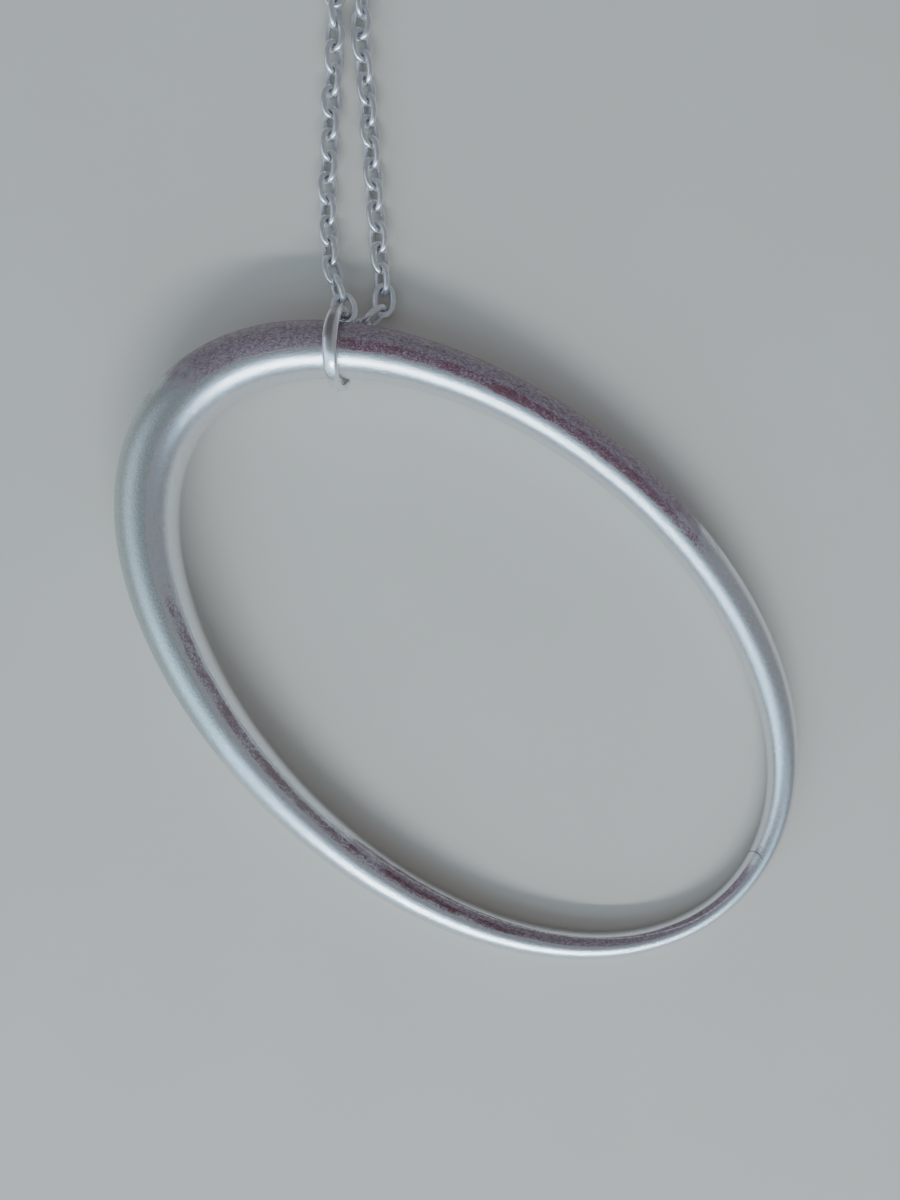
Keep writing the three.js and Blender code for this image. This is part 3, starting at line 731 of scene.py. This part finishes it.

# %% [markdown]
# ## The finish of the bail, the chain and the fittings
#
# These are handled more, so they are brighter. The bail has a dark pinkish-brown line down the middle of
# its front, and each link is darker on its inner side: painted shade where the links lie in one another.

# %% Bail, chain and fitting materials
bail_wire = Material("bail_wire")
grain = bail_wire.noise(bail_wire.object_place(1000.0), 3.0, 4.0, 0.6)
way_round = bail_wire.attribute("round_ring")
front = bail_wire.step(way_round, 5.0, 30.0)
front = bail_wire.times(front, bail_wire.step(way_round, 78.0, 112.0, 1.0, 0.0))
# A dark pinkish-brown line down the middle of the bail's front face.
dark_centre_line = bail_wire.times(bail_wire.line(bail_wire.attribute("across"), 0.18, 0.62), front)
colour = bail_wire.mix(bail_wire.step(grain, 0.35, 0.7), (0.86, 0.86, 0.88, 1), SILVER_PALE)
bail_wire.finish(
    Base_Color=bail_wire.mix(bail_wire.times(dark_centre_line, 0.75), colour, (0.27, 0.19, 0.21, 1)),
    Metallic=1.0,
    Roughness=bail_wire.step(grain, 0.3, 0.75, 0.30, 0.18),
    Normal=bail_wire.bump(grain, 0.25, 0.00003),
)

chain_wire = Material("chain_wire")
grain = chain_wire.noise(chain_wire.object_place(1000.0), 2.6, 3.0, 0.6)
# Each link's inner side is darkened: painted shade where the links lie in one another.
inner_shade = chain_wire.plus(chain_wire.attribute("inner"), chain_wire.around(grain, 0.8))
colour = chain_wire.mix(chain_wire.step(grain, 0.35, 0.7), SILVER_MID, SILVER_PALE)
chain_wire.finish(
    Base_Color=chain_wire.mix(chain_wire.step(inner_shade, 0.6, 1.2, 0.0, 0.7), colour, LINK_SHADE_BROWN),
    Metallic=1.0,
    Roughness=chain_wire.step(inner_shade, 0.2, 1.0, 0.3, 0.5),
    Normal=chain_wire.bump(grain, 0.25, 0.00003),
)

fittings = Material("fitting_polish")
grain = fittings.noise(fittings.object_place(1000.0), 1.8, 4.0, 0.6)
fittings.finish(
    Base_Color=fittings.mix(fittings.step(grain, 0.35, 0.7), (0.74, 0.74, 0.77, 1), (0.91, 0.91, 0.93, 1)),
    Metallic=1.0,
    Roughness=fittings.step(grain, 0.3, 0.75, 0.28, 0.14),
    Normal=fittings.bump(grain, 0.2, 0.00003),
)

hoop.data.materials.append(satin.material)
bail.data.materials.append(bail_wire.material)
for piece in (chain_left, chain_right):
    piece.data.materials.append(chain_wire.material)
for name in ("clasp_body", "clasp_lever", "clasp_rivet", "clasp_spring", "jump_ring", "end_ring"):
    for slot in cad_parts[name].material_slots:
        slot.material = fittings.material

# %% [markdown]
# ## Table and light
#
# One long narrow light stands towards -Y, like a window at the near edge of the view. A polished
# tube shows it as a line where its surface faces halfway between the light and the eye: with the
# light 52 degrees from the vertical, 26 degrees round the tube. So the upper arc has its bright line
# inside the hoop and the lower arc outside it. A large, weak, blue panel behind the window spreads
# the tone, as a sky does, and another one to the left keeps the thick end from going dark.

# %% Table and lights
TABLE_HALF = 1.5
corners = [(x * TABLE_HALF, y * TABLE_HALF, 0) for x, y in ((-1, -1), (1, -1), (1, 1), (-1, 1))]
floor_mesh = bpy.data.meshes.new("table")
floor_mesh.from_pydata(corners, [], [(0, 1, 2, 3)])
table = bpy.data.objects.new("table", floor_mesh)
bpy.context.scene.collection.objects.link(table)
pale = Material("pale_table")
cloud = pale.noise(pale.object_place(), 60.0, 3.0, 0.5)
pale.finish(Base_Color=pale.mix(cloud, (0.72, 0.655, 0.58, 1), (0.76, 0.70, 0.625, 1)), Roughness=0.7)
table.data.materials.append(pale.material)

world = bpy.data.worlds.new("studio")
bpy.context.scene.world = world
world.use_nodes = True
background = world.node_tree.nodes["Background"].inputs
background["Color"].default_value = (0.56, 0.60, 0.66, 1)
background["Strength"].default_value = 0.42


def soft_light(name, elevation, azimuth, distance, size, radiance, colour):
    """A rectangular light that faces the hoop from an elevation and an azimuth, in degrees from -Y
    towards +X. Its power is radiance x pi x area, which keeps its brightness in reflections the
    same when its size changes."""
    up, aside = math.radians(elevation), math.radians(azimuth)
    way = Vector((math.cos(up) * math.sin(aside), -math.cos(up) * math.cos(aside), math.sin(up)))
    light = bpy.data.lights.new(name, "AREA")
    light.shape = "RECTANGLE"
    light.size, light.size_y = size
    light.energy = radiance * math.pi * size[0] * size[1]
    light.color = colour
    lamp = bpy.data.objects.new(name, light)
    lamp.location = way * distance
    lamp.rotation_euler = way.to_track_quat("Z", "Y").to_euler()
    bpy.context.scene.collection.objects.link(lamp)


soft_light("window", 38, 0, 0.8, (0.6, 0.04), 42.0, (0.88, 0.95, 1.0))
soft_light("sky", 36, -8, 0.9, (1.9, 0.95), 1.3, (0.46, 0.75, 1.0))
soft_light("side", 36, -82, 0.9, (0.9, 0.6), 0.8, (0.62, 0.82, 1.0))

# %% [markdown]
